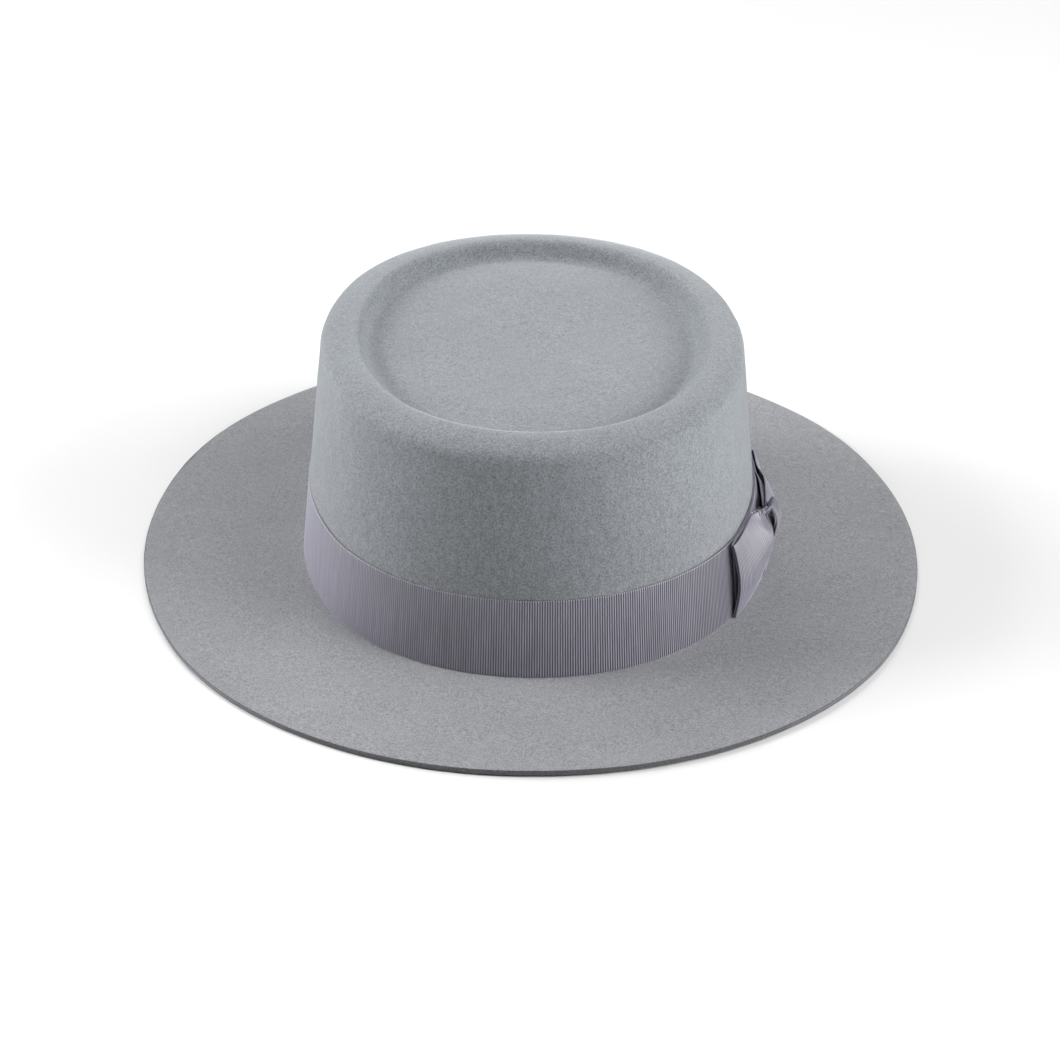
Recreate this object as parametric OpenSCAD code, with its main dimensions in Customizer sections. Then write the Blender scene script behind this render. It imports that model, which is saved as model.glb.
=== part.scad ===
// Wide-brim felt hat with a sunken oval crown top, ribbon band and side bow.
// Front of the hat faces -Y, the wearer's left side and its bow face +X, up is +Z.
// Z = 0 is the table plane under the brim edge. Lengths are in millimetres.

/* [Head size] */

// Width of the crown at the brim break, outside the felt
crown_width = 177.6; // [160:0.2:195]

// Length of the crown at the brim break, outside the felt
crown_length = 210; // [185:0.2:230]

/* [Felt body] */

// Thickness of the felt
felt_thickness = 2; // [1.2:0.1:3]

// Width of the brim from the brim break to its cut edge
brim_width = 63.5; // [40:0.5:90]

// Rise of the brim from its cut edge to the brim break
brim_rise = 2.3; // [0:0.1:8]

// Radius of the bend between brim and crown
break_radius = 1.2; // [0.6:0.1:4]

// Height of the crown ridge above the brim break
crown_height = 92.4; // [80:0.2:125]

// Inward lean of the crown side, degrees
crown_lean = 4.6; // [0:0.1:10]

// Tighter radius at the outside of the crown shoulder
shoulder_radius = 5.1; // [3.5:0.1:15]

// Steepness where the tighter shoulder arc meets the wider one, degrees
shoulder_turn = 63; // [45:1:75]

// Wider radius across the top of the shoulder
ridge_land_radius = 23; // [8:0.1:30]

// Radius on the inner side of the ridge
ridge_radius = 4.2; // [2.6:0.1:8]

// Steepness of the wall from the ridge down to the sunken top, degrees
tip_wall_angle = 55; // [30:1:75]

// Straight length of that wall
tip_wall_length = 3; // [1:0.1:12]

// Radius where the wall turns into the sunken top
tip_fillet = 4.5; // [3:0.1:12]

// Dome of the sunken top from its edge to its middle panel
tip_dome = 1.2; // [0:0.1:3]

/* [Ribbon and bow] */

// Height of the ribbon
ribbon_height = 31.5; // [15:0.5:60]

// Thickness of the ribbon
ribbon_thickness = 0.7; // [0.4:0.05:1.5]

// Turn of the bow centre from the middle of the left side, degrees (negative is forward)
bow_turn = -9.4; // [-14:0.1:14]

// Half the length of the bow
bow_half_length = 41; // [25:0.5:45]

// Length of the knot along the band
knot_length = 11; // [7:0.5:20]

// How far the knot stands out from the band at its lower edge
knot_low_stand = 3.7; // [3:0.1:10]

// How far the knot stands out from the band at its upper edge
knot_high_stand = 9.9; // [5:0.1:14]

/* [Sweatband and lining] */

// Height of the leather sweatband
sweatband_height = 50; // [35:1:60]

// Thickness of the leather
leather_thickness = 1.2; // [0.7:0.1:2]

// Diameter of the reed in the sweatband's lower edge
reed_diameter = 1.5; // [1:0.1:2.4]

// Number of stitches round the sweatband
stitch_count = 112; // [60:4:200]

// Thickness of the lining cloth
lining_thickness = 0.4; // [0.2:0.1:1]

/* [Hidden] */

// The head oval is four arcs. Their centres lie on a 44 : 117 : 125 triangle, so the arcs
// meet in line at the ends of the two flatter sides.
half_width = crown_width / 2;
oval_step = (crown_length - crown_width) / 72;
side_shift = 117 * oval_step;
end_shift = 44 * oval_step;
side_radius = half_width + side_shift;
end_radius = half_width - 8 * oval_step;
joint_angle = atan2(44, 117);
break_z = brim_rise + felt_thickness;
crest_z = break_z + crown_height;
band_z = break_z + 0.2;
slope = tan(crown_lean);
panel_inset = 24;

// Node to draw, or all of them

function reversed(list) = [for (i = [len(list) - 1:-1:0]) list[i]];

// Points along a turning path: each move is [length] or [radius, turn in degrees].
function walk(p, heading, moves, i = 0) =
    i == len(moves) ? [p] :
    len(moves[i]) == 1 ?
        concat([p], walk(p + moves[i][0] * [cos(heading), sin(heading)], heading, moves, i + 1)) :
        let (r = moves[i][0], turn = moves[i][1], n = max(2, ceil(abs(turn) / 9)),
            side = turn > 0 ? 1 : -1,
            centre = p + side * r * [-sin(heading), cos(heading)],
            arc = [for (k = [0:n - 1]) let (h = heading + turn * k / n)
                centre + side * r * [sin(h), -cos(h)]],
            h1 = heading + turn)
        concat(arc, walk(centre + side * r * [sin(h1), -cos(h1)], h1, moves, i + 1));

// Unit normal to the left of the path at point i.
function left_of(path, i) =
    let (a = path[max(i - 1, 0)], b = path[min(i + 1, len(path) - 1)], d = (b - a) / norm(b - a))
    [-d[1], d[0]];

// The path moved to its left by a distance.
function beside(path, distance) =
    [for (i = [0:len(path) - 1]) path[i] + distance * left_of(path, i)];

// Sheet of a given thickness lying on the left of a path.
module sheet(path, thickness) {
    polygon(concat(path, reversed(beside(path, thickness))));
}

// Offset of the crown's outer felt face from the head oval at height z.
function crown_face(z) = -slope * (z - break_z);

// Offset of the crown's inner felt face from the head oval at height z.
function lining_face(z) = crown_face(z) - felt_thickness / cos(crown_lean);

side_start = [0, break_z + break_radius];
top_land = ridge_land_radius * (1 - sin(shoulder_turn));
shoulder_rise = shoulder_radius * (sin(shoulder_turn) - sin(crown_lean)) + top_land;
side_length = (crown_height - break_radius - shoulder_rise) / cos(crown_lean);
crown_path = walk(side_start, 90 + crown_lean, [
    [side_length],
    [shoulder_radius, shoulder_turn - crown_lean],
    [ridge_land_radius, 90 - shoulder_turn],
    [ridge_radius, tip_wall_angle],
    [tip_wall_length],
    [tip_fillet, -tip_wall_angle],
]);
tip_edge = crown_path[len(crown_path) - 1];
panel_edge = [tip_edge[0] - panel_inset, tip_edge[1] + tip_dome];
brim_path = concat(
    [[brim_width, felt_thickness]],
    [for (a = [270:-15:195]) [break_radius, side_start[1]] + break_radius * [cos(a), sin(a)]]
);
felt_path = concat(brim_path, crown_path, [panel_edge]);
ribbon_path = [
    [crown_face(band_z + ribbon_height), band_z + ribbon_height],
    [crown_face(band_z), band_z],
];

// Profile (offset from the head oval, height) swept along the right side arc.
module side_arc(from, to) {
    translate([-side_shift, 0, 0])
        rotate([0, 0, from])
            rotate_extrude(angle = to - from)
                translate([side_radius, 0, 0])
                    children();
}

// Profile swept along the back end arc, angles measured from the middle of the back.
module end_arc(from, to) {
    translate([0, end_shift, 0])
        rotate([0, 0, 90 + from])
            rotate_extrude(angle = to - from)
                translate([end_radius, 0, 0])
                    children();
}

// Profile swept all round the head oval.
module oval_ring() {
    // a wedge along the triangle's long side, three times its size so it passes the brim
    x = 3 * 117;
    y = 3 * 44;
    for (side = [0, 1])
        mirror([side, 0, 0])
            intersection() {
                translate([-side_shift, 0, 0])
                    rotate_extrude()
                        translate([side_radius, 0, 0])
                            children();
                translate([-side_shift, 0, -5])
                    linear_extrude(height = 150)
                        polygon([[0, 0], [x, -y], [x, y]]);
            }
    for (end = [0, 1])
        mirror([0, end, 0])
            intersection() {
                translate([0, end_shift, 0])
                    rotate_extrude()
                        translate([end_radius, 0, 0])
                            children();
                translate([0, end_shift, -5])
                    linear_extrude(height = 150)
                        polygon([[0, 0], [x, y], [0, 8 * y], [-x, y]]);
            }
}

// Flat head oval moved outward by a distance, kept to a tenth so that its arcs meet exactly.
module oval_face(distance) {
    reach = round(10 * distance) / 10;
    r1 = side_radius + reach;
    r2 = end_radius + reach;
    seam_y = r1 * sin(joint_angle);
    intersection() {
        translate([-side_shift, 0]) circle(r = r1, $fn = 360);
        translate([side_shift, 0]) circle(r = r1, $fn = 360);
        square([2 * r1, 2 * seam_y], center = true);
    }
    for (end = [0, 1])
        mirror([0, end])
            intersection() {
                translate([0, end_shift]) circle(r = r2, $fn = 360);
                translate([-r2, seam_y]) square([2 * r2, r2]);
            }
}

module felt_body() {
    color("#9fa4a6") {
        oval_ring($fn = 180)
            sheet(felt_path, felt_thickness);
        translate([0, 0, panel_edge[1] - felt_thickness])
            linear_extrude(height = felt_thickness)
                oval_face(panel_edge[0] + 0.5);
    }
}

// The ribbon is one strip: its two ends meet under the bow.
module ribbon_band() {
    color("#817f8b")
        difference() {
            oval_ring($fn = 180) sheet(ribbon_path, ribbon_thickness);
            translate([-side_shift, 0, 0])
                rotate([0, 0, bow_turn])
                    translate([side_radius - 10, -0.5, 0])
                        cube([20, 1, break_z + ribbon_height + 5]);
        }
}

// Short threads that hold the ribbon to the felt near both of its edges.
module band_tack_stitches() {
    color("#6c6a76")
        for (z = [band_z + 1.6, band_z + ribbon_height - 1.6]) {
            side_arc(14, 14.6, $fn = 180) tack_profile(z);
            mirror([1, 0, 0]) side_arc(-0.3, 0.3, $fn = 180) tack_profile(z);
            end_arc(-0.5, 0.5, $fn = 180) tack_profile(z);
            mirror([0, 1, 0]) end_arc(-0.5, 0.5, $fn = 180) tack_profile(z);
        }
}

module tack_profile(z) {
    translate([crown_face(z) + ribbon_thickness - 0.05, z]) square([0.25, 0.4]);
}

// Room taken by the crown and ribbon on the bow's side.
module band_room(extra) {
    base = side_radius + ribbon_thickness + extra;
    top = break_z + 60;
    translate([-side_shift, 0, 0])
        rotate([0, 0, -60])
            rotate_extrude(angle = 120)
                polygon([
                    [40, -1],
                    [base, -1],
                    [base, break_z],
                    [base + crown_face(top), top],
                    [40, top],
                ]);
}

module bow_backing() {
    reach = (bow_half_length - 4) / side_radius * 180 / PI;
    path = [for (p = ribbon_path) p + [ribbon_thickness + 0.05, 0]];
    color("#777581")
        side_arc(bow_turn - reach, bow_turn + reach, $fn = 180) sheet(path, ribbon_thickness);
}

// One loop of the bow: a folded ribbon that swells from its fold toward the knot.
module bow_loop(way) {
    steps = 6;
    reach = bow_half_length;
    half_knot = knot_length / 2;
    inner = [for (k = [0:steps]) let (s = half_knot + (reach - half_knot) * k / steps) [s, -8]];
    outer = [for (k = [steps:-1:0])
        let (s = half_knot + (reach - half_knot) * k / steps, t = 1 - k / steps)
        [s, 3 + (knot_high_stand - 2) * pow(sin(90 * t), 1.2)]];
    outline = concat(inner, [[reach + 1, 1.2]], outer);
    r = side_radius + ribbon_thickness;
    difference() {
        intersection() {
            translate([-side_shift, 0, band_z])
                rotate([0, 0, bow_turn])
                    linear_extrude(height = ribbon_height)
                        polygon([for (p = outline) let (a = way * p[0] / r * 180 / PI)
                            (r + p[1]) * [cos(a), sin(a)]]);
            side_arc(bow_turn - 24, bow_turn + 24, $fn = 180)
                polygon([
                    [-10, band_z],
                    [knot_low_stand - 0.4, band_z],
                    [knot_high_stand - 0.6, band_z + ribbon_height - 7],
                    [knot_high_stand - 1.6, band_z + ribbon_height],
                    [-10, band_z + ribbon_height],
                ]);
        }
        band_room(ribbon_thickness + 0.15, $fn = 180);
    }
    // gathered neck that passes through the knot
    neck = (half_knot + 0.2) / r * 180 / PI;
    side_arc(
        way > 0 ? bow_turn + 0.05 : bow_turn - neck,
        way > 0 ? bow_turn + neck : bow_turn - 0.05,
        $fn = 180
    )
        neck_profile(0);
}

module neck_profile(grow) {
    low = band_z + 6 - grow;
    high = band_z + ribbon_height - 6 + grow;
    base = 2 * ribbon_thickness + 0.3 - grow;
    polygon([
        [base, low],
        [knot_low_stand - 0.6 + grow, low],
        [knot_high_stand - 1.4 + grow, high],
        [base + crown_face(high), high],
    ]);
}

module bow_front_loop() {
    color("#82808c") bow_loop(-1);
}

module bow_back_loop() {
    color("#82808c") bow_loop(1);
}

module bow_knot() {
    turn = knot_length / 2 / (side_radius + ribbon_thickness) * 180 / PI;
    low = band_z + 1.4;
    high = band_z + ribbon_height - 2.6;
    color("#7b7986")
        difference() {
            side_arc(bow_turn - turn, bow_turn + turn, $fn = 180)
                polygon([
                    [0, low],
                    [knot_low_stand - 0.4, low],
                    [knot_low_stand + 0.8, low + 2.4],
                    [knot_high_stand + 0.6, high - 4],
                    [knot_high_stand - 0.7, high],
                    [0, high],
                ]);
            band_room(ribbon_thickness + 0.1, $fn = 180);
            side_arc(bow_turn - turn - 1, bow_turn + turn + 1, $fn = 180) neck_profile(0.05);
        }
}

leather_low = break_z + break_radius + 0.6;
leather_path = [
    [lining_face(leather_low) - 0.5, leather_low],
    [lining_face(leather_low + 12) - 0.7, leather_low + 12],
    [lining_face(leather_low + sweatband_height) - 1.6, leather_low + sweatband_height],
];
reed_centre = [
    leather_path[0][0] - reed_diameter / 2 - 0.05,
    leather_low - reed_diameter / 2 - 0.15
];

// The leather is one strip with a narrow gap between its ends at the back.
module sweatband() {
    color("#6f5a48")
        difference() {
            oval_ring($fn = 180) sheet(leather_path, leather_thickness);
            translate([-1, end_shift + end_radius - 20, 0])
                cube([2, 22, leather_low + sweatband_height + 5]);
        }
}

module sweatband_reed() {
    color("#d8d6cf")
        oval_ring($fn = 180)
            translate(reed_centre) circle(d = reed_diameter, $fn = 24);
}

// Cloth tape folded round the reed and up behind the leather.
module sweatband_reed_tape() {
    color("#b9b6ae")
        oval_ring($fn = 180) {
            difference() {
                translate(reed_centre) circle(d = reed_diameter + 0.7, $fn = 24);
                translate(reed_centre) circle(d = reed_diameter + 0.04, $fn = 24);
                translate([reed_centre[0] - 2, leather_low - 0.02]) square([4, 2]);
            }
            translate([leather_path[0][0] + 0.06, leather_low - 0.5]) square([0.3, 8]);
        }
}

module sweatband_stitches() {
    stitch_z = leather_low + 2.2;
    face = lining_face(stitch_z) - 0.52 - leather_thickness;
    side_count = round(stitch_count * 0.19);
    end_count = round(stitch_count * 0.31);
    side_step = 2 * joint_angle / side_count;
    end_step = 2 * (90 - joint_angle) / end_count;
    color("#5c4a3b") {
        for (left = [0, 1])
            mirror([left, 0, 0])
                for (k = [0:side_count - 1])
                    side_arc(
                        -joint_angle + (k + 0.2) * side_step,
                        -joint_angle + (k + 0.8) * side_step,
                        $fn = 180
                    )
                        translate([face - 0.25, stitch_z]) square([0.3, 0.4]);
        for (front = [0, 1])
            mirror([0, front, 0])
                for (k = [0:end_count - 1])
                    if (front == 1 || abs(k + 0.5 - end_count / 2) > 0.9)
                        end_arc(
                            joint_angle - 90 + (k + 0.2) * end_step,
                            joint_angle - 90 + (k + 0.8) * end_step,
                            $fn = 180
                        )
                            translate([face - 0.25, stitch_z]) square([0.3, 0.4]);
    }
}

// Leather patch behind the gap at the back of the sweatband.
module sweatband_seam_patch() {
    patch_path = [
        leather_path[1] + [0.42, 0],
        leather_path[2] + [0.9, -4],
    ];
    color("#5f4c3c")
        end_arc(-6, 6, $fn = 180) sheet(patch_path, 0.38);
}

// Small bow of thin braid at the back of the sweatband.
module sweatband_rear_bow() {
    z = leather_low + 9;
    y = end_shift + end_radius + lining_face(z) - leather_thickness - 1.75;
    color("#2e2b2c")
        translate([0, y, z])
            rotate([-crown_lean, 0, 0]) {
                cube([3.4, 1.8, 3.6], center = true);
                for (side = [1, -1]) {
                    rotate([0, 12 * side, 0])
                        translate([side * 5.2, 0, 0])
                            cube([8.4, 1.3, 4.6], center = true);
                    rotate([0, 62 * side, 0])
                        translate([side * 6.4, 0.2, 0])
                            cube([9, 0.8, 2.6], center = true);
                }
            }
}

tip_z = tip_edge[1] - felt_thickness - 1.6;
liner_path = [
    [lining_face(leather_low + 30) - 0.25, leather_low + 30],
    [lining_face(leather_low + 38) - 0.45, leather_low + 38],
    [lining_face(72) - 0.9, 72],
    [lining_face(tip_z) - 4.6, tip_z - 0.9],
];
piping_centre = liner_path[3] + [-1, 0.25];

module liner_side() {
    color("#8e8c92")
        oval_ring($fn = 180) sheet(liner_path, lining_thickness);
}

module liner_tip() {
    color("#98969c")
        translate([0, 0, tip_z - lining_thickness])
            linear_extrude(height = lining_thickness)
                oval_face(piping_centre[0] - 0.4);
}

module liner_piping() {
    color("#77757c")
        oval_ring($fn = 180)
            difference() {
                translate(piping_centre) circle(d = 1.3, $fn = 24);
                translate([piping_centre[0] - 2.4, tip_z - lining_thickness - 0.02])
                    square([2, lining_thickness + 0.04]);
            }
}

felt_body();
ribbon_band();
band_tack_stitches();
bow_backing();
bow_front_loop();
bow_back_loop();
bow_knot();
sweatband();
sweatband_reed();
sweatband_reed_tape();
sweatband_stitches();
sweatband_seam_patch();
sweatband_rear_bow();
liner_side();
liner_tip();
liner_piping();
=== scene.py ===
import math

import bpy
from mathutils import Matrix, Vector, noise


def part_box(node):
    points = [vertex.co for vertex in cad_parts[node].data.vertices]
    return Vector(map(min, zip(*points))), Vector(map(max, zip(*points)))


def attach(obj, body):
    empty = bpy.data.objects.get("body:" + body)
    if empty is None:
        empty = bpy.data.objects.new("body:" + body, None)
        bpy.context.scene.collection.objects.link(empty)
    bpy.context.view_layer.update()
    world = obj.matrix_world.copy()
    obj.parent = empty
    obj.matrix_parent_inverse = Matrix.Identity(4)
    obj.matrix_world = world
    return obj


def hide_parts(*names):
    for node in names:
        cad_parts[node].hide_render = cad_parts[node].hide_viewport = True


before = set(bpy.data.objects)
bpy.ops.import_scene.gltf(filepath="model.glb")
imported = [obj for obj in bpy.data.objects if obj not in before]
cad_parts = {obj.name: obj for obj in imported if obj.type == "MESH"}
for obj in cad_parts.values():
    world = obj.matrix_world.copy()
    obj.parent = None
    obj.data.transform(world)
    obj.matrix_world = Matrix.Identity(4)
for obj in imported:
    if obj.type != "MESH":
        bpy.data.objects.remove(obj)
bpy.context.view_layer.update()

# Lengths in this script are millimetres; every mesh is made in metres.
MM = 0.001


# ---------------------------------------------------------------- sizes from the frame

def node_box(node):
    """Lowest and highest corner of a CAD node, in millimetres."""
    low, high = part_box(node)
    return [c / MM for c in low], [c / MM for c in high]


felt_high = node_box("felt_body")[1]
ribbon_low, ribbon_high = node_box("ribbon_band")
leather_low, leather_high = node_box("sweatband")
liner_low, liner_high = node_box("liner_side")
tip_low, tip_high = node_box("liner_tip")
piping_low, piping_high = node_box("liner_piping")
reed_low, reed_high = node_box("sweatband_reed")

RIBBON_ROOM = 0.7
FELT = 2.0
LEAN = math.radians(4.6)
SLOPE = math.tan(LEAN)
BREAK_RADIUS = 1.2

band_z = ribbon_low[2]
ribbon_height = ribbon_high[2] - band_z
break_z = band_z - 0.2
half_width = -ribbon_low[0] - RIBBON_ROOM + 0.2 * SLOPE
half_length = ribbon_high[1] - RIBBON_ROOM + 0.2 * SLOPE
brim_width = felt_high[0] - half_width
crest_z = felt_high[2]

# The head oval: four arcs whose centres lie on a 44 : 117 : 125 triangle.
oval_step = (half_length - half_width) / 36
side_shift = 117 * oval_step
end_shift = 44 * oval_step
side_radius = half_width + side_shift
end_radius = half_width - 8 * oval_step
JOINT = math.atan2(44, 117)

# The bow, on the middle of the +X side.
BOW_TURN = math.radians(-9.4)
BOW_REACH = 41.0
PLY = 0.45


# ---------------------------------------------------------------- geometry helpers

def oval(turn, out):
    """Point of the head oval moved outward, where the outward direction is turn radians from +X."""
    c, s = math.cos(turn), math.sin(turn)
    if abs(s) <= math.sin(JOINT):
        centre_x = -side_shift if c > 0 else side_shift
        return centre_x + (side_radius + out) * c, (side_radius + out) * s
    centre_y = end_shift if s > 0 else -end_shift
    return (end_radius + out) * c, centre_y + (end_radius + out) * s


def quarter_length(out):
    return (side_radius + out) * JOINT + (end_radius + out) * (math.pi / 2 - JOINT)


def turn_at(distance, out):
    """Outward direction at a distance along the oval, anticlockwise from the +X side's middle."""
    side, end, quarter = side_radius + out, end_radius + out, quarter_length(out)
    count, rest = divmod(distance, quarter)
    if count % 2:
        rest = quarter - rest
    turn = rest / side if rest < side * JOINT else JOINT + (rest - side * JOINT) / end
    if count % 2:
        turn = math.pi / 2 - turn
    return count * math.pi / 2 + turn


def walk(start, heading, moves, step=1.5):
    """Points along a turning path. A move is (length,) or (radius, turn), angles in radians."""
    x, y = start
    points = [(x, y)]
    for move in moves:
        if len(move) == 1:
            count = max(1, round(move[0] / step))
            for _ in range(count):
                x += move[0] / count * math.cos(heading)
                y += move[0] / count * math.sin(heading)
                points.append((x, y))
            continue
        radius, turn = move
        count = max(3, math.ceil(abs(turn) / math.radians(7)), round(abs(turn) * radius / step))
        side = 1 if turn > 0 else -1
        centre = x - side * radius * math.sin(heading), y + side * radius * math.cos(heading)
        for k in range(1, count + 1):
            h = heading + turn * k / count
            x = centre[0] + side * radius * math.sin(h)
            y = centre[1] - side * radius * math.cos(h)
            points.append((x, y))
        heading += turn
    return points


def left_normals(path):
    """Unit normals to the left of a path of (x, y) points."""
    normals = []
    for i in range(len(path)):
        a, b = path[max(i - 1, 0)], path[min(i + 1, len(path) - 1)]
        dx, dy = b[0] - a[0], b[1] - a[1]
        size = math.hypot(dx, dy)
        normals.append((-dy / size, dx / size))
    return normals


def smooth_at(xs, ys, x):
    """Smooth curve through the points (xs, ys), read at x."""
    x = min(max(x, xs[0]), xs[-1])
    i = max(k for k in range(len(xs) - 1) if xs[k] <= x)
    slopes = []
    for k in (i, i + 1):
        a, b = max(k - 1, 0), min(k + 1, len(xs) - 1)
        slopes.append((ys[b] - ys[a]) / (xs[b] - xs[a]))
    span = xs[i + 1] - xs[i]
    t = (x - xs[i]) / span
    return (
        (2 * t**3 - 3 * t**2 + 1) * ys[i]
        + (t**3 - 2 * t**2 + t) * span * slopes[0]
        + (3 * t**2 - 2 * t**3) * ys[i + 1]
        + (t**3 - t**2) * span * slopes[1]
    )


def wave(point, scale, seed=0.0):
    """Smooth noise of about -1 to 1 with features of the given size in millimetres."""
    return 2 * noise.noise(Vector(point) / scale + Vector((seed, 3.7 * seed, 1.3 * seed)))


def new_object(name, vertices, faces, uvs=None, smooth=True):
    """Object made from millimetre vertices. uvs gives one (u, v) for each vertex, in millimetres."""
    mesh = bpy.data.meshes.new(name)
    mesh.from_pydata([[c * MM for c in v] for v in vertices], [], faces)
    mesh.validate()
    if uvs is not None:
        layer = mesh.uv_layers.new(name="cloth")
        for loop in mesh.loops:
            layer.data[loop.index].uv = uvs[loop.vertex_index]
    mesh.polygons.foreach_set("use_smooth", [smooth] * len(mesh.polygons))
    obj = bpy.data.objects.new(name, mesh)
    bpy.context.scene.collection.objects.link(obj)
    return obj


def ring_faces(rings, count, closed_rings=False):
    """Quads between rings of count vertices each."""
    faces = []
    last = rings if closed_rings else rings - 1
    for i in range(last):
        a, b = i * count, ((i + 1) % rings) * count
        for j in range(count):
            k = (j + 1) % count
            faces.append((a + j, a + k, b + k, b + j))
    return faces


def cloth(name, surface, length, width, thickness, pitch=0.0, depth=0.0, per_rib=6, step=2.0,
          rows=16, closed=False, edge=None, lift=None):
    """Closed solid of a strip of cloth or leather.

    surface(s, v) gives the middle surface, s millimetres along the strip and v from -0.5 to 0.5
    across it. pitch and depth make ribs across the strip. closed joins its two ends.
    """
    edge = edge if edge is not None else 1.2 * thickness
    half = thickness / 2
    inset = min(edge / width, 0.2)
    across = [-0.5 + inset * (1 - math.cos(a * math.pi / 8)) for a in range(5)]
    body = [-0.5 + inset + (1 - 2 * inset) * k / rows for k in range(1, rows)]
    across = across + body + [-v for v in reversed(across)]
    columns = round(length / pitch) * per_rib if pitch else max(8, round(length / step))
    grid = []
    for i in range(columns + (0 if closed else 1)):
        s = length * i / columns
        rib = 0.5 + 0.5 * math.cos(2 * math.pi * i / per_rib) if pitch else 0.0
        scallop = 1 + (0.16 * rib * depth / width * 4 if pitch else 0)
        grid.append([(s, v * scallop, v, rib) for v in across])
    points = [[Vector(surface(s, v)) for s, v, _, _ in column] for column in grid]
    outer, inner, flat_outer = [], [], []
    count = len(grid)
    for i, column in enumerate(points):
        before = points[(i - 1) % count] if closed or i else points[0]
        after = points[(i + 1) % count] if closed or i < count - 1 else points[-1]
        for j, p in enumerate(column):
            along = after[j] - before[j]
            up = column[min(j + 1, len(column) - 1)] - column[max(j - 1, 0)]
            normal = along.cross(up).normalized()
            s, _, v, rib = grid[i][j]
            rest = max(0.0, (abs(v) - (0.5 - inset)) / inset)
            fat = math.sqrt(max(0.0, 1 - min(rest, 1) ** 2))
            grow = half * fat + depth * rib * max(fat, 0.25)
            shift = lift(s, v) if lift else 0.0
            outer.append(p + normal * (grow + shift))
            inner.append(p - normal * (grow - shift))
            flat_outer.append((s, (v + 0.5) * width))
    vertices, uvs = outer + inner, flat_outer * 2
    m, total = len(across), len(outer)
    faces = []
    for i in range(count if closed else count - 1):
        a, b = i * m, ((i + 1) % count) * m
        for j in range(m - 1):
            faces.append((a + j, b + j, b + j + 1, a + j + 1))
            faces.append((total + a + j, total + a + j + 1, total + b + j + 1, total + b + j))
        for j, flip in ((0, False), (m - 1, True)):
            quad = (a + j, total + a + j, total + b + j, b + j)
            faces.append(tuple(reversed(quad)) if flip else quad)
    if not closed:
        for a, flip in ((0, False), ((count - 1) * m, True)):
            for j in range(m - 1):
                quad = (a + j, a + j + 1, total + a + j + 1, total + a + j)
                faces.append(tuple(reversed(quad)) if flip else quad)
    return new_object(name, vertices, faces, uvs)


def swept_tube(name, point, radius, columns, sides=10):
    """Closed tube of a round section round the head oval; point(turn) gives (out, z)."""
    vertices, uvs = [], []
    for i in range(columns):
        turn = 2 * math.pi * i / columns
        out, z = point(turn)
        for k in range(sides):
            a = 2 * math.pi * k / sides
            x, y = oval(turn, out + radius * math.cos(a))
            vertices.append((x, y, z + radius * math.sin(a)))
            uvs.append((turn * 95, a * radius))
    return new_object(name, vertices, ring_faces(columns, sides, True), uvs)


def capsule(path, radius, sides=8):
    """Vertices and faces of a thin thread along a path of points, with rounded ends."""
    vertices, faces = [], []
    last = len(path) - 1
    for i, p in enumerate(path):
        along = (path[min(i + 1, last)] - path[max(i - 1, 0)]).normalized()
        across = along.cross(Vector((0, 0, 1))).normalized()
        up = across.cross(along)
        share = min(i, last - i) / max(last, 1) * 2
        r = radius * math.sqrt(max(0.05, 1 - (1 - min(1, 2.2 * share)) ** 2))
        for k in range(sides):
            a = 2 * math.pi * k / sides
            vertices.append(p + across * (r * math.cos(a)) + up * (r * math.sin(a)))
    for i in range(last):
        for k in range(sides):
            n = (k + 1) % sides
            faces.append((i * sides + k, i * sides + n, (i + 1) * sides + n, (i + 1) * sides + k))
    faces.append(tuple(reversed(range(sides))))
    faces.append(tuple(last * sides + k for k in range(sides)))
    return vertices, faces


def threads(name, paths, radius):
    """One object of many short threads."""
    vertices, faces = [], []
    for path in paths:
        more, quads = capsule(path, radius)
        faces += [tuple(len(vertices) + k for k in quad) for quad in quads]
        vertices += more
    return new_object(name, vertices, faces)


# ---------------------------------------------------------------- materials

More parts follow.
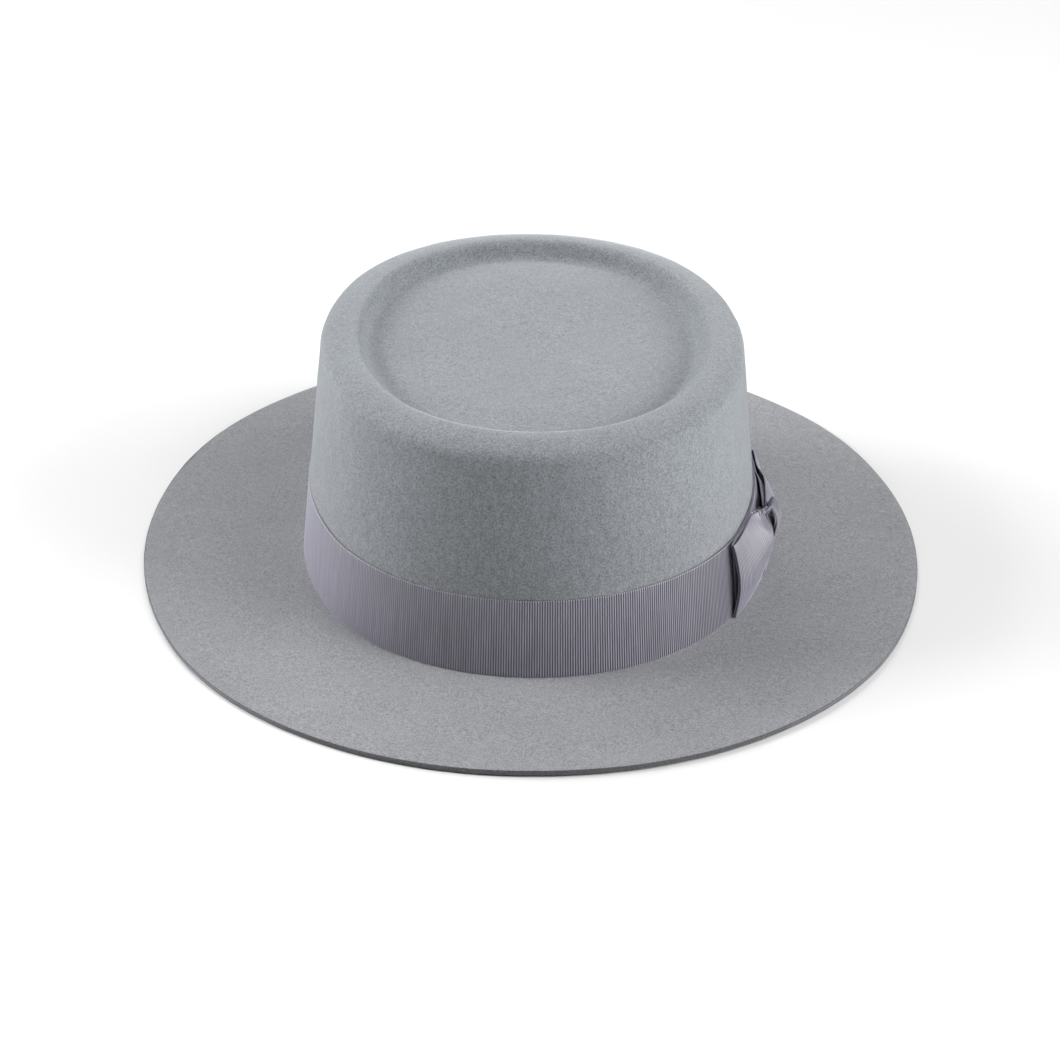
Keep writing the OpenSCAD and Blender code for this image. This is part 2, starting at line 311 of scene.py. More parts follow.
class Shader:
    """A material's node tree with short calls for the nodes used here."""

    def __init__(self, name):
        self.material = bpy.data.materials.new(name)
        self.material.use_nodes = True
        self.tree = self.material.node_tree
        self.surface = self.tree.nodes["Principled BSDF"]
        self.places = self.tree.nodes.new("ShaderNodeTexCoord")

    def set(self, **values):
        for key, value in values.items():
            self.surface.inputs[key.replace("_", " ")].default_value = value

    def link(self, source, socket):
        self.tree.links.new(source, socket)

    def noise(self, source, scale, detail=3.0, roughness=0.55, stretch=(1, 1, 1)):
        mapping = self.tree.nodes.new("ShaderNodeMapping")
        mapping.inputs["Scale"].default_value = stretch
        self.link(source, mapping.inputs["Vector"])
        node = self.tree.nodes.new("ShaderNodeTexNoise")
        node.inputs["Scale"].default_value = scale
        node.inputs["Detail"].default_value = detail
        node.inputs["Roughness"].default_value = roughness
        self.link(mapping.outputs[0], node.inputs["Vector"])
        return node.outputs["Fac"]

    def math(self, operation, a, b=None, c=None):
        node = self.tree.nodes.new("ShaderNodeMath")
        node.operation = operation
        for index, value in enumerate((a, b, c)):
            if value is None:
                continue
            if isinstance(value, (int, float)):
                node.inputs[index].default_value = value
            else:
                self.link(value, node.inputs[index])
        return node.outputs[0]

    def ramp(self, factor, low, high, dark, light):
        node = self.tree.nodes.new("ShaderNodeMapRange")
        node.inputs["From Min"].default_value = low
        node.inputs["From Max"].default_value = high
        node.inputs["To Min"].default_value = dark
        node.inputs["To Max"].default_value = light
        self.link(factor, node.inputs["Value"])
        return node.outputs[0]

    def mix(self, factor, a, b):
        node = self.tree.nodes.new("ShaderNodeMix")
        node.data_type = "RGBA"
        for socket, value in ((node.inputs[0], factor), (node.inputs[6], a), (node.inputs[7], b)):
            if isinstance(value, (int, float)):
                socket.default_value = value
            elif isinstance(value, (tuple, list)):
                socket.default_value = (*value, 1.0)
            else:
                self.link(value, socket)
        return node.outputs[2]

    def shade(self, colour, factor):
        """Colour multiplied by a grey factor."""
        node = self.tree.nodes.new("ShaderNodeVectorMath")
        node.operation = "SCALE"
        if isinstance(colour, (tuple, list)):
            node.inputs[0].default_value = colour
        else:
            self.link(colour, node.inputs[0])
        self.link(factor, node.inputs["Scale"])
        return node.outputs[0]

    def bump(self, height, strength, distance_mm, under=None):
        node = self.tree.nodes.new("ShaderNodeBump")
        node.inputs["Strength"].default_value = strength
        node.inputs["Distance"].default_value = distance_mm * MM
        self.link(height, node.inputs["Height"])
        if under is not None:
            self.link(under, node.inputs["Normal"])
        return node.outputs[0]

    def split(self, source):
        node = self.tree.nodes.new("ShaderNodeSeparateXYZ")
        self.link(source, node.inputs[0])
        return node.outputs


def felt_material():
    """Pale grey fur felt: a speckled short nap, painted cooler light on the crown and painted warmer bounce
    light on the brim, and a cut brim edge darkened for cut fibres and for painted shade.
    """
    s = Shader("grey_fur_felt")
    here = s.places.outputs["Object"]
    grain = s.noise(here, 1450, detail=2, roughness=0.8)
    flecks = s.noise(here, 420, detail=3, roughness=0.6, stretch=(1, 1, 0.55))
    clouds = s.noise(here, 28, detail=3)
    shade = s.math("ADD", s.ramp(grain, 0.34, 0.66, 0.68, 1.32), s.ramp(flecks, 0.3, 0.7, -0.09, 0.09))
    shade = s.math("ADD", shade, s.ramp(clouds, 0.35, 0.65, -0.03, 0.03))
    height = s.split(here)[2]
    # Painted light: a cooler tint on the crown and a warmer one on the brim, standing in for cool light on
    # the top and warm bounce light on the brim.
    tone = s.mix(s.ramp(height, 0.004, 0.05, 0.0, 1.0), (0.205, 0.206, 0.219), (0.196, 0.209, 0.223))
    # The cut edge rows are darkened to 0.42: partly for the darker cut fibres, partly as painted shade on the
    # edge.
    edge = s.tree.nodes.new("ShaderNodeAttribute")
    edge.attribute_name = "cut_edge_fibre_and_shade"
    shade = s.math("MULTIPLY", shade, s.ramp(edge.outputs["Fac"], 0.0, 1.0, 1.0, 0.42))
    s.link(s.shade(tone, shade), s.surface.inputs["Base Color"])
    nap = s.bump(grain, 0.5, 0.25)
    s.link(s.bump(flecks, 0.3, 0.35, under=nap), s.surface.inputs["Normal"])
    s.set(Roughness=0.95, Specular_IOR_Level=0.12, Sheen_Weight=0.35, Sheen_Roughness=0.5)
    s.set(Sheen_Tint=(0.93, 0.97, 1.0, 1.0))
    return s.material


def ribbon_material():
    """Purple-grey grosgrain: fine weft threads over the modelled ribs, painted shade in the rib grooves and
    painted highlight on the rib crests, with a soft sheen.
    """
    s = Shader("grosgrain_ribbon")
    flat = s.places.outputs["UV"]
    along, across, _ = s.split(flat)
    rib = s.math("COSINE", s.math("MULTIPLY", along, 2 * math.pi / RIB_PITCH))
    # Painted shade in the grooves between ribs and painted highlight on their crests, laid over the modelled
    # ribs.
    rib_shade_and_highlight = s.ramp(rib, -0.7, 0.7, 0.18, 1.7)
    streaks = s.noise(flat, 1.05, detail=2, stretch=(1, 0.04, 1))
    fuzz = s.noise(flat, 5.0, detail=3)
    shade = s.math("MULTIPLY", rib_shade_and_highlight, s.ramp(streaks, 0.3, 0.7, 0.78, 1.2))
    shade = s.math("MULTIPLY", shade, s.ramp(fuzz, 0.3, 0.7, 0.93, 1.07))
    s.link(s.shade((0.142, 0.139, 0.170), shade), s.surface.inputs["Base Color"])
    threads_height = s.math("SINE", s.math("MULTIPLY", across, 2 * math.pi / 0.28))
    s.link(s.bump(threads_height, 0.25, 0.03), s.surface.inputs["Normal"])
    s.set(Roughness=0.42, Specular_IOR_Level=1.0, Sheen_Weight=0.85, Sheen_Roughness=0.4)
    s.set(Sheen_Tint=(0.86, 0.84, 1.0, 1.0))
    return s.material


def leather_material():
    """Smooth brown sweatband leather with a fine grain."""
    s = Shader("sweatband_leather")
    here = s.places.outputs["Object"]
    cells = s.tree.nodes.new("ShaderNodeTexVoronoi")
    cells.feature = "DISTANCE_TO_EDGE"
    cells.inputs["Scale"].default_value = 900
    s.link(here, cells.inputs["Vector"])
    clouds = s.noise(here, 35, detail=4)
    tone = s.mix(s.ramp(clouds, 0.35, 0.65, 0.0, 1.0), (0.15, 0.085, 0.05), (0.2, 0.12, 0.075))
    s.link(tone, s.surface.inputs["Base Color"])
    s.link(s.ramp(clouds, 0.3, 0.7, 0.38, 0.55), s.surface.inputs["Roughness"])
    grain = s.ramp(cells.outputs["Distance"], 0.0, 0.12, 0.0, 1.0)
    s.link(s.bump(grain, 0.3, 0.08), s.surface.inputs["Normal"])
    s.set(Specular_IOR_Level=0.4)
    return s.material


def satin_material(name, colour, roughness=0.35):
    """Woven satin: very fine threads across the cloth and a soft directional shine."""
    s = Shader(name)
    flat = s.places.outputs["UV"]
    across = s.split(flat)[1]
    float_threads = s.math("SINE", s.math("MULTIPLY", across, 2 * math.pi / 0.22))
    clouds = s.noise(flat, 0.06, detail=3)
    slubs = s.noise(flat, 1.6, detail=2, stretch=(0.05, 1, 1))
    shade = s.math("MULTIPLY", s.ramp(clouds, 0.3, 0.7, 0.93, 1.07), s.ramp(slubs, 0.3, 0.7, 0.9, 1.1))
    s.link(s.shade(colour, shade), s.surface.inputs["Base Color"])
    s.link(s.bump(float_threads, 0.2, 0.02), s.surface.inputs["Normal"])
    s.set(Roughness=roughness, Specular_IOR_Level=0.55, Anisotropic=0.5, Sheen_Weight=0.2)
    return s.material


def woven_material(name, colour, scale=0.5, roughness=0.85):
    """Plain weave or twisted thread, for tape and stitches, with painted shade in the twist grooves."""
    s = Shader(name)
    here = s.places.outputs["Object"]
    x, y, z = s.split(here)
    diagonal = s.math("ADD", s.math("ADD", x, y), z)
    twist = s.math("SINE", s.math("MULTIPLY", diagonal, 2 * math.pi / (scale * MM)))
    fuzz = s.noise(here, 2500, detail=3)
    # Painted shade: the colour darkens where the twist bump is low, in the grooves.
    shade = s.math("MULTIPLY", s.ramp(twist, -1.0, 1.0, 0.82, 1.08), s.ramp(fuzz, 0.3, 0.7, 0.88, 1.12))
    s.link(s.shade(colour, shade), s.surface.inputs["Base Color"])
    s.link(s.bump(twist, 0.4, 0.06), s.surface.inputs["Normal"])
    s.set(Roughness=roughness, Specular_IOR_Level=0.25, Sheen_Weight=0.2)
    return s.material


def reed_material():
    """Smooth off-white plastic cord."""
    s = Shader("reed_plastic")
    here = s.places.outputs["Object"]
    clouds = s.noise(here, 300, detail=3)
    s.link(s.shade((0.62, 0.6, 0.55), s.ramp(clouds, 0.3, 0.7, 0.95, 1.05)), s.surface.inputs["Base Color"])
    s.link(s.bump(clouds, 0.2, 0.05), s.surface.inputs["Normal"])
    s.set(Roughness=0.45)
    return s.material


def floor_material():
    """Matte white studio sweep."""
    s = Shader("studio_floor")
    s.set(Base_Color=(0.74, 0.74, 0.74, 1.0), Roughness=0.9, Specular_IOR_Level=0.1)
    return s.material


def finish(piece, material, slot, *nodes):
    """Gives a piece its material, ties it to the root body and hides the CAD nodes it stands for."""
    piece.data.materials.clear()
    piece.data.materials.append(material)
    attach(piece, "root")
    if nodes:
        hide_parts(*nodes)
    return piece


# ---------------------------------------------------------------- felt body

def crown_face(z):
    return -SLOPE * (z - break_z)


SHOULDER_RADIUS = 5.1
SHOULDER_TURN = math.radians(63)
LAND_RADIUS = 23.0
RIDGE_RADIUS = 4.2
WALL_TURN = math.radians(55)
WALL_LENGTH = 3.0
TIP_FILLET = 4.5
TIP_DOME = 1.2
PANEL_INSET = 24
PANEL_RISE = 0.3
EDGE_ROUND = 0.3
EDGE_ROWS = 7


def felt_profile():
    """Outer face of the felt from the brim's cut edge to the edge of the sunken top's middle."""
    start_z = break_z + BREAK_RADIUS
    land_rise = LAND_RADIUS * (1 - math.sin(SHOULDER_TURN))
    shoulder = SHOULDER_RADIUS * (math.sin(SHOULDER_TURN) - math.sin(LEAN)) + land_rise
    side = (crest_z - start_z - shoulder) / math.cos(LEAN)
    crown = walk((0.0, start_z), math.pi / 2 + LEAN, [
        (side,),
        (SHOULDER_RADIUS, SHOULDER_TURN - LEAN),
        (LAND_RADIUS, math.pi / 2 - SHOULDER_TURN),
        (RIDGE_RADIUS, WALL_TURN),
        (WALL_LENGTH,),
        (TIP_FILLET, -WALL_TURN),
    ])
    rise = break_z - FELT
    steps = 32
    brim = []
    for k in range(steps):
        brim.append((brim_width * (1 - k / steps) + BREAK_RADIUS * k / steps, FELT + rise * k / steps))
    bend = []
    for k in range(6):
        a = math.radians(270 - 15 * k)
        bend.append((BREAK_RADIUS * (1 + math.cos(a)), start_z + BREAK_RADIUS * math.sin(a)))
    edge_u, edge_z = crown[-1]
    floor = []
    for k in range(1, 17):
        t = k / 16
        floor.append((edge_u - PANEL_INSET * t, edge_z + TIP_DOME * math.sin(t * math.pi / 2)))
    return brim + bend + crown + floor


def felt_rows():
    """Rows of the whole felt surface, from the top's centre over the brim to the under side's centre.

    A row is (out, z, shrink, normal out, normal z).
    """
    outer = felt_profile()
    normals = left_normals(outer)
    edge_u, edge_z = outer[-1]
    rows = []
    middle = 22
    for k in range(1, middle):
        t = k / middle
        rows.append((edge_u, edge_z + PANEL_RISE * (1 - t * t), t, 0.0, 1.0))
    for (u, z), (nu, nz) in zip(reversed(outer), reversed(normals)):
        rows.append((u, z, 1.0, -nu, -nz))
    top_rows = len(rows)
    u, z = outer[0]
    nu, nz = normals[0]
    rows[-1] = (u - EDGE_ROUND, z - EDGE_ROUND * 0.02, 1.0, 0.0, 1.0)
    for a in (60, 30, 0):
        r = math.radians(a)
        rows.append((u - EDGE_ROUND + EDGE_ROUND * math.cos(r),
                     z - EDGE_ROUND + EDGE_ROUND * math.sin(r), 1.0, math.cos(r), math.sin(r)))
    for a in (0, -30, -60, -90):
        r = math.radians(a)
        rows.append((u - EDGE_ROUND + EDGE_ROUND * math.cos(r),
                     z - FELT + EDGE_ROUND + EDGE_ROUND * math.sin(r), 1.0, math.cos(r), math.sin(r)))
    for (u, z), (nu, nz) in list(zip(outer, normals))[1:]:
        rows.append((u + nu * FELT, z + nz * FELT, 1.0, nu, nz))
    for k in range(middle - 1, 0, -1):
        t = k / middle
        rows.append((edge_u, edge_z - FELT + PANEL_RISE * (1 - t * t), t, 0.0, -1.0))
    return rows, top_rows


def brim_wave(turn, u):
    """Gentle rise and fall of the brim, growing toward its cut edge."""
    share = max(0.0, u / brim_width) ** 1.5
    return share * (0.35 + 0.35 * math.cos(2 * turn + 2.4) + 0.15 * math.sin(3 * turn + 0.4))


def make_felt():
    rows, edge_row = felt_rows()
    columns = 440
    vertices = [(0, 0, rows[0][1])]
    for u, z, shrink, nu, nz in rows:
        for i in range(columns):
            turn = 2 * math.pi * i / columns
            x, y = oval(turn, u)
            x, y = x * shrink, y * shrink
            c, s = math.cos(turn), math.sin(turn)
            bulge = 0.3 * wave((x, y, z), 55, 1.0) + 0.07 * wave((x, y, z), 11, 2.0)
            if u > 0:
                bulge *= 0.5
            side = 1 if nz > 0 or (u <= 0 and nu > 0 and shrink == 1.0) else -1
            outward = side * bulge
            height = max(0.0, z + nz * outward + brim_wave(turn, u))
            vertices.append((x + nu * outward * c, y + nu * outward * s, height))
    vertices.append((0, 0, rows[-1][1]))
    faces = [tuple(v + 1 for v in face) for face in ring_faces(len(rows), columns)]
    last = 1 + (len(rows) - 1) * columns
    for i in range(columns):
        k = (i + 1) % columns
        faces.append((0, 1 + k, 1 + i))
        faces.append((len(vertices) - 1, last + i, last + k))
    felt = new_object("felt_hat_body", vertices, faces)
    # Mask of the cut edge rows, which the felt material darkens for cut fibres and for painted shade.
    cut = felt.data.attributes.new("cut_edge_fibre_and_shade", "FLOAT", "POINT")
    first = 1 + edge_row * columns
    last = first + EDGE_ROWS * columns
    cut.data.foreach_set("value", [1.0 if first <= i < last else 0.0 for i in range(len(vertices))])
    return felt


# ---------------------------------------------------------------- ribbon band and bow

RIB_PITCH = 0.97
RIB_DEPTH = 0.13


def band_face(turn, out, h):
    """Point at a distance out from the ribbon's outer face and a height h above its lower edge."""
    z = band_z + h
    x, y = oval(turn, RIBBON_ROOM + crown_face(z) + out)
    return x, y, z


def make_band():
    length = 4 * quarter_length(RIBBON_ROOM)
    start = (side_radius + RIBBON_ROOM) * BOW_TURN
    gap = 0.5

    def surface(s, v):
        turn = turn_at(start + gap + s, RIBBON_ROOM)
        h = (v + 0.5) * (ribbon_height - 0.3) + 0.15
        loose = 0.1 * (1 + wave((s, 0, 0), 70, 3.0)) * (0.4 + (2 * v) ** 2)
        return band_face(turn, -0.32 + loose, h)

    ribbon = cloth("grosgrain_band", surface, length - 2 * gap, ribbon_height, PLY, RIB_PITCH, RIB_DEPTH)
    return ribbon


def bow_place(t, out, h):
    """Point t millimetres behind the bow's middle along the band."""
    turn = BOW_TURN + t / (side_radius + RIBBON_ROOM)
    z = band_z + h
    r = side_radius + RIBBON_ROOM + out
    lean = crown_face(z)
    return (-side_shift + (r + lean) * math.cos(turn), (r + lean) * math.sin(turn), z)


# How far each loop's outer ply stands off the band. Each row is for one distance from the bow's
# middle, and its values are for the places ACROSS the ribbon, from the lower edge to the upper.
ACROSS = (-0.5, -0.2, 0.02, 0.2, 0.38, 0.5)
FRONT_STAND = {
    3: (2.6, 5.4, 7.0, 7.4, 7.0, 8.2),
    6: (2.6, 5.8, 7.6, 7.2, 4.4, 8.2),
    9: (2.5, 6.0, 8.2, 7.8, 4.0, 7.6),
    11: (2.4, 6.1, 8.4, 8.2, 4.6, 4.6),
    14: (2.2, 6.0, 8.2, 7.6, 4.8, 1.9),
    19: (1.9, 5.9, 7.2, 6.2, 3.8, 1.5),
    27: (1.7, 5.7, 5.9, 4.8, 3.2, 1.8),
    36: (1.6, 4.2, 4.4, 3.8, 3.1, 2.3),
    41: (1.6, 2.9, 3.3, 3.3, 2.9, 2.2),
}
BACK_STAND = {
    3: (2.6, 5.3, 6.6, 7.0, 6.2, 5.0),
    7: (2.6, 5.7, 7.2, 7.7, 7.3, 4.8),
    12: (2.6, 5.7, 7.0, 7.3, 7.0, 4.5),
    18: (2.5, 5.3, 6.2, 6.2, 5.6, 4.0),
    27: (2.3, 4.7, 4.9, 4.4, 3.6, 2.0),
    36: (2.1, 4.2, 4.3, 4.0, 3.2, 2.2),
    41: (2.0, 3.8, 4.0, 3.8, 3.2, 2.4),
}


def stand_at(table, t, v):
    distances = list(table)
    column = [smooth_at(distances, [table[d][k] for d in distances], t) for k in range(len(ACROSS))]
    return smooth_at(ACROSS, column, v)


def make_loop(name, table, way, gathering, gather_length):
    """One folded loop of the bow. way is 1 behind the knot and -1 in front of it."""
    fold = 0.55
    start = 2.0

    def reach(v):
        return BOW_REACH - 1.2 - 1.3 * math.cos(math.pi * v)

    out_length = BOW_REACH - 2.5 - start
    fold_length = math.pi * fold
    length = 2 * out_length + fold_length

    def height(t, v):
        gather = 1 - gathering * math.exp(-(t / gather_length) ** 2)
        return ribbon_height / 2 + v * gather * (ribbon_height - 0.4)

    def pleat(t, v):
        return 0.35 * math.exp(-((t - 4) / 9) ** 2) * math.sin(9 * v + 0.6)

    def surface(s, v):
        tip = reach(v)
        if s <= out_length:
            t = start + (tip - start) * s / out_length
            out = stand_at(table, t, v) + pleat(t, v)
        elif s <= out_length + fold_length:
            a = math.pi * (s - out_length) / fold_length
            t = tip + fold * math.sin(a)
            out = stand_at(table, tip, v) - fold + fold * math.cos(a)
        else:
            back = (s - out_length - fold_length) / out_length
            t = tip + (start - tip) * back
            space = 2 * fold + 1.3 * math.sin(math.pi * back)
            out = max(0.95 - 0.4 * (1 - back) ** 4, stand_at(table, t, v) + pleat(t, v) - space)
        return bow_place(way * t, out, height(t, v))

    loop = cloth(name, surface, length, ribbon_height, PLY, RIB_PITCH, RIB_DEPTH * 0.8, rows=22)
    return loop


def make_knot():
    """Short ribbon wrapped round the middle of the bow."""
    ring = [(1.0, 3), (3.6, 1.0), (4.6, 3.8), (6.1, 8.6), (8.2, 15.4), (9.8, 20.8), (10.4, 24.8), (9.5, 28.2),
            (8.1, 29.8), (6.8, 28.0), (5.0, 24.6), (1.0, 23.0)]
    count = len(ring)

    def ring_at(share):
        x = share * count
        i, t = int(x) % count, x - int(x)
        p = [ring[(i + k) % count] for k in (-1, 0, 1, 2)]
        result = []
        for axis in (0, 1):
            a, b, c, d = (q[axis] for q in p)
            result.append(0.5 * (2 * b + (c - a) * t + (2 * a - 5 * b + 4 * c - d) * t**2
                                 + (3 * b - a - 3 * c + d) * t**3))
        return result

    length = 70.0
    width = 11.0

    def surface(s, v):
        out, h = ring_at(s / length)
        curl = 0.7 * abs(2 * v) ** 3
        face = max(0.0, min(1.0, (out - 2) / 3))
        return bow_place(v * width * (1 - 0.25 * max(0.0, h / 31) ** 2), out - curl * face, h)

    knot = cloth("bow_knot_wrap", surface, length, width, PLY, RIB_PITCH, RIB_DEPTH, rows=10, closed=True)
    return knot


def make_backing():
    """Flat ribbon under the bow."""
    length = 2 * (BOW_REACH - 4)

    def surface(s, v):
        return bow_place(s - length / 2, 0.42, ribbon_height / 2 + v * (ribbon_height - 0.6))

    backing = cloth("bow_backing_ribbon", surface, length, ribbon_height, PLY, RIB_PITCH, RIB_DEPTH * 0.6)
    return backing


def make_band_tacks():
    """Short threads that hold the ribbon near its edges: behind the bow, right, back and front."""
    behind_bow = 58.0
    paths = []
    for h in (1.7, ribbon_height - 1.5):
        for turn in (BOW_TURN + behind_bow / side_radius, math.pi, math.pi / 2, -math.pi / 2):
            path = []
            for k in range(9):
                t = k / 8
                lift = 0.12 + 0.22 * math.sin(math.pi * t)
                path.append(Vector(band_face(turn + (t - 0.5) * 0.011, lift, h + 0.3 * t)))
            paths.append(path)
    return threads("ribbon_tacks", paths, 0.16)


# ---------------------------------------------------------------- sweatband

LEATHER = 1.2
leather_z = leather_low[2]
leather_height = leather_high[2] - leather_z


def inner_face(z):
    """Offset of the crown's inner felt face from the head oval."""
    return crown_face(z) - FELT / math.cos(LEAN)


def leather_path(v):
    """Middle surface of the leather as (out, z), v from -0.5 at the bottom to 0.5 at the top."""
    h = (v + 0.5) * leather_height
    z = leather_z + h
    gap = smooth_at((0, 12, leather_height), (0.5, 0.7, 1.6), h)
    return inner_face(z) - gap - LEATHER / 2, z


def make_sweatband():
    out = inner_face(leather_z) - 1.1
    length = 4 * quarter_length(out)
    gap = 1.1
    start = quarter_length(out)

    def surface(s, v):
        turn = turn_at(start + gap + s, out)
        u, z = leather_path(v)
        relax = 0.25 * (v + 0.5) * wave((s, 40 * v, 0), 60, 5.0)
        x, y = oval(turn, u + relax)
        return x, y, z

    band = cloth("leather_sweatband", surface, length - 2 * gap, leather_height, LEATHER, rows=20,
                 step=1.8, edge=0.5)
    return band


def make_reed_tape():
    """Cotton tape round the reed and up behind the leather."""
    reed_out = reed_high[0] - half_width - (reed_high[2] - reed_low[2]) / 2
    reed_z = (reed_low[2] + reed_high[2]) / 2
    radius = (reed_high[2] - reed_low[2]) / 2 + 0.19
    path = [(reed_out + radius + 0.02, reed_z + 8.0 - 0.9 * k) for k in range(9)]
    for k in range(13):
        a = math.radians(20 - 225 * k / 12)
        path.append((reed_out + radius * math.cos(a), reed_z + radius * math.sin(a)))
    lengths = [0.0]
    for a, b in zip(path, path[1:]):
        lengths.append(lengths[-1] + math.dist(a, b))
    width = lengths[-1]
    length = 4 * quarter_length(reed_out)

    def surface(s, v):
        at = (0.5 - v) * width
        out = smooth_at(lengths, [p[0] for p in path], at)
        z = smooth_at(lengths, [p[1] for p in path], at)
        x, y = oval(turn_at(s, reed_out), out)
        return x, y, z

    tape = cloth("reed_tape", surface, length, width, 0.3, rows=26, step=2.2, closed=True, edge=0.2)
    return tape


def make_sweatband_stitches():
    """Round of machine stitches through the foot of the leather."""
    z = leather_z + 2.4
    out = inner_face(z) - 0.5 - LEATHER - 0.02
    total = 4 * quarter_length(out)
    count = 112
    pitch = total / count
    back = quarter_length(out)
    paths = []
    for k in range(count):
        middle = (k + 0.5) * pitch
        if abs(middle - back) < 3:
            continue
        path = []
        for j in range(9):
            t = j / 8
            turn = turn_at(middle + (t - 0.5) * pitch * 0.72, out)
            x, y = oval(turn, out - 0.12 * math.sin(math.pi * t))
            path.append(Vector((x, y, z)))
        paths.append(path)
    return threads("sweatband_stitching", paths, 0.2)


def make_seam_patch():
    """Leather patch behind the gap at the back of the sweatband."""
    low, high = node_box("sweatband_seam_patch")
    width, height = high[0] - low[0], high[2] - low[2]

    def surface(s, v):
        z = low[2] + height * (v + 0.5)
        out = leather_path((z - leather_z) / leather_height - 0.5)[0] + LEATHER / 2 + 0.28
        turn = math.pi / 2 + (s - width / 2) / (end_radius + out)
        x, y = oval(turn, out)
        return x, y, z

    patch = cloth("sweatband_back_patch", surface, width, height, 0.38, rows=14, step=1.2, edge=0.3)
    return patch


def make_rear_bow():
    """Small braid bow at the back of the sweatband."""
    low, high = node_box("sweatband_rear_bow")
    middle_z = (low[2] + high[2]) / 2
    braid = 3.6
    thickness = 0.22
    loop_length, tail_length = 21.0, 9.0
    knot_length, knot_width = 9.5, 3.0

    def face(t, out, h):
        z = middle_z + h
        u = leather_path((z - leather_z) / leather_height - 0.5)[0] - LEATHER / 2
        x, y = oval(math.pi / 2 - t / end_radius, u - out)
        return x, y, z

    pieces = []
    for way in (1, -1):
        def loop(s, v, way=way):
            a = 2 * math.pi * s / loop_length
            t = 4.6 - 4.6 * math.cos(a)
            out = 0.75 + 0.5 * math.sin(a) * (t / 9.2) ** 0.5
            return face(way * t, out, v * braid * (0.45 + 0.55 * min(1, t / 5)) + 0.13 * t)

        def tail(s, v, way=way):
            t = 0.5 + 0.62 * s
            return face(way * t, 0.35 + 0.15 * math.sin(s * 0.7), v * braid * 0.8 - 0.8 * s + 0.4)

        hand = "right" if way > 0 else "left"
        pieces.append(cloth(f"rear_bow_loop_{hand}", loop, loop_length, braid, thickness,
                            rows=8, step=0.5, edge=0.2))
        pieces.append(cloth(f"rear_bow_tail_{hand}", tail, tail_length, braid * 0.8, thickness,
                            rows=8, step=0.5, edge=0.2))

    def knot(s, v):
        a = 2 * math.pi * s / knot_length
        return face(v * knot_width, 0.75 + 0.65 * math.cos(a), 2.1 * math.sin(a))

    pieces.append(cloth("rear_bow_knot", knot, knot_length, knot_width, thickness,
                        rows=6, step=0.4, closed=True, edge=0.2))
    return pieces


# ---------------------------------------------------------------- lining

def make_liner_side():
    """Satin strip inside the crown, gathered slightly where it meets the top panel."""
    low_z, high_z = liner_low[2], liner_high[2]
    heights = (low_z, low_z + 8, 72.0, high_z)
    gaps = (0.25, 0.45, 0.9, 4.6)
    foot = inner_face(low_z) - 0.5
    length = 4 * quarter_length(foot)

    def surface(s, v):
        z = low_z + (high_z - low_z) * (v + 0.5)
        gap = smooth_at(heights, gaps, z)
        crease = 1.2 * wave((s, 12 * v, 0), 9, 7.0) + 0.8 * wave((s, 0, 0), 23, 8.0)
        crease = max(0.0, v) ** 2 * crease
        x, y = oval(turn_at(s, foot), inner_face(z) - gap - 0.2 + crease)
        return x, y, z

    side = cloth("satin_lining_side", surface, length, high_z - low_z, 0.35, rows=30, step=1.5,
                 closed=True, edge=0.2)
    return side


def make_liner_tip():
    """Oval satin panel under the sunken top."""
    z = (tip_low[2] + tip_high[2]) / 2
    out = tip_high[0] - half_width
    columns, rings = 240, 30
    vertices, uvs, faces = [], [], []
    for side in (1, -1):
        vertices.append((0, 0, z + side * 0.17 - 0.9))
        uvs.append((0, 0))
        for k in range(1, rings + 1):
            share = k / rings
            for i in range(columns):
                turn = 2 * math.pi * i / columns
                x, y = oval(turn, out)
                x, y = x * share, y * share
                sag = -0.9 * (1 - share**2) + 0.18 * share * wave((x, y, 0), 16, 9.0)
                edge = 0.17 if k < rings else 0.0
                vertices.append((x, y, z + sag + side * edge))
                uvs.append((x, y))
    half = 1 + rings * columns
    for base, flip in ((0, False), (half, True)):
        for i in range(columns):
            n = (i + 1) % columns
            cap = (base, base + 1 + i, base + 1 + n)
            faces.append(tuple(reversed(cap)) if flip else cap)
            for k in range(rings - 1):
                a = base + 1 + k * columns
                quad = (a + i, a + columns + i, a + columns + n, a + n)
                faces.append(tuple(reversed(quad)) if flip else quad)
    rim = 1 + (rings - 1) * columns
    for i in range(columns):
        n = (i + 1) % columns
        faces.append((rim + i, half + rim + i, half + rim + n, rim + n))
    tip = new_object("satin_lining_tip", vertices, faces, uvs)
    return tip


def make_piping():
    z = (piping_low[2] + piping_high[2]) / 2
    radius = (piping_high[2] - piping_low[2]) / 2
    out = piping_high[0] - half_width - radius
    return swept_tube("lining_piping", lambda turn: (out, z + 0.05 * math.sin(60 * turn)), radius, 420)


# ---------------------------------------------------------------- studio

def look_camera():
    """Camera in front of the hat, raised, with a slight roll."""
    azimuth, elevation, roll = math.radians(-1.94), math.radians(28.77), math.radians(0.46)
    distance = 1700.0
    target = Vector((-0.3, 0, break_z + 5.3))
    back = Vector((math.sin(azimuth) * math.cos(elevation), -math.cos(azimuth) * math.cos(elevation),
                   math.sin(elevation)))
    right = Vector((math.cos(azimuth), math.sin(azimuth), 0))
    up = back.cross(right)
    right, up = right * math.cos(roll) + up * math.sin(roll), up * math.cos(roll) - right * math.sin(roll)
    data = bpy.data.cameras.new("camera")
    data.lens = 146.3
    data.sensor_width = 36
    data.clip_start, data.clip_end = 0.05, 50
    camera = bpy.data.objects.new("camera", data)
    bpy.context.scene.collection.objects.link(camera)
    place = (target + back * distance) * MM
    camera.matrix_world = Matrix((right, up, back)).transposed().to_4x4()
    camera.location = place
    bpy.context.scene.camera = camera
    return camera


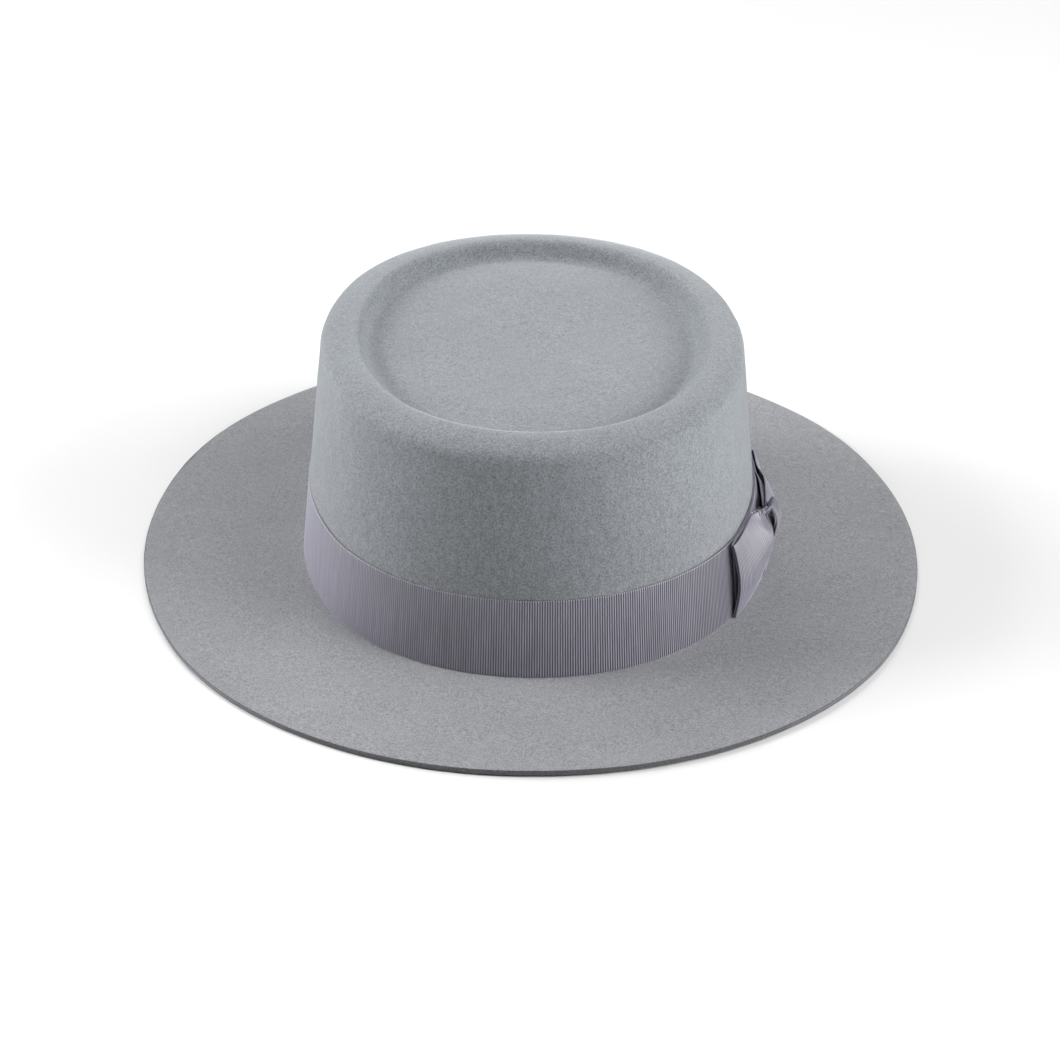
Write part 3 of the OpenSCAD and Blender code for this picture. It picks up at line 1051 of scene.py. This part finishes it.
def softbox(name, azimuth, elevation, power):
    """Square light facing the hat. Azimuth 0 is the camera's side and 90 the bow's, in degrees."""
    data = bpy.data.lights.new(name, "AREA")
    data.shape = "SQUARE"
    data.size = 0.8
    data.energy = power
    light = bpy.data.objects.new(name, data)
    bpy.context.scene.collection.objects.link(light)
    a, e = math.radians(azimuth), math.radians(elevation)
    way = Vector((math.sin(a) * math.cos(e), -math.cos(a) * math.cos(e), math.sin(e)))
    light.location = 1.8 * way + Vector((0, 0, 0.05))
    light.rotation_euler = (-way).to_track_quat("-Z", "Y").to_euler()
    return light


def make_studio():
    size = 6.0
    mesh = bpy.data.meshes.new("studio_floor")
    corners = [(-size, -size, 0), (size, -size, 0), (size, size, 0), (-size, size, 0)]
    mesh.from_pydata(corners, [], [(0, 1, 2, 3)])
    floor = bpy.data.objects.new("studio_floor", mesh)
    bpy.context.scene.collection.objects.link(floor)
    floor.data.materials.append(floor_material())
    world = bpy.data.worlds.new("studio")
    world.use_nodes = True
    world.node_tree.nodes["Background"].inputs["Color"].default_value = (1.0, 1.0, 1.0, 1.0)
    world.node_tree.nodes["Background"].inputs["Strength"].default_value = 0.02
    bpy.context.scene.world = world
    softbox("right_low", 90, 12, 20)
    softbox("right_front", 62, 28, 20)
    softbox("right_front_high", 50, 55, 12)
    softbox("left", 268, 32, 27)
    softbox("left_back", 245, 12, 18)
    softbox("back", 200, 50, 12)
    bpy.context.scene.view_settings.view_transform = "Standard"


# ---------------------------------------------------------------- build

look_camera()
make_studio()

felt = felt_material()
ribbon = ribbon_material()
leather = leather_material()
lining = satin_material("lining_satin", (0.3, 0.29, 0.33))
piping = satin_material("piping_satin", (0.17, 0.16, 0.2))
braid = satin_material("braid_satin", (0.035, 0.03, 0.033), roughness=0.45)
cotton = woven_material("cotton_tape", (0.46, 0.44, 0.4))
ribbon_thread = woven_material("ribbon_thread", (0.17, 0.16, 0.2), scale=0.35)
leather_thread = woven_material("leather_thread", (0.12, 0.08, 0.055), scale=0.35)

finish(make_felt(), felt, "felt", "felt_body")
finish(make_band(), ribbon, "ribbon", "ribbon_band")
finish(make_backing(), ribbon, "ribbon", "bow_backing")
finish(make_loop("bow_loop_front", FRONT_STAND, -1, 0.45, 3.5), ribbon, "ribbon", "bow_front_loop")
finish(make_loop("bow_loop_back", BACK_STAND, 1, 0.27, 9.0), ribbon, "ribbon", "bow_back_loop")
finish(make_knot(), ribbon, "ribbon", "bow_knot")
finish(make_band_tacks(), ribbon_thread, "ribbon_thread", "band_tack_stitches")
finish(make_sweatband(), leather, "sweatband_leather", "sweatband")
finish(make_reed_tape(), cotton, "cotton_tape", "sweatband_reed_tape")
finish(make_sweatband_stitches(), leather_thread, "sweatband_thread", "sweatband_stitches")
finish(make_seam_patch(), leather, "sweatband_leather", "sweatband_seam_patch")
for piece in make_rear_bow():
    finish(piece, braid, "braid", "sweatband_rear_bow")
finish(make_liner_side(), lining, "lining", "liner_side")
finish(make_liner_tip(), lining, "lining", "liner_tip")
finish(make_piping(), piping, "lining_piping", "liner_piping")

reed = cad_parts["sweatband_reed"]
reed.data.materials.clear()
reed.data.materials.append(reed_material())
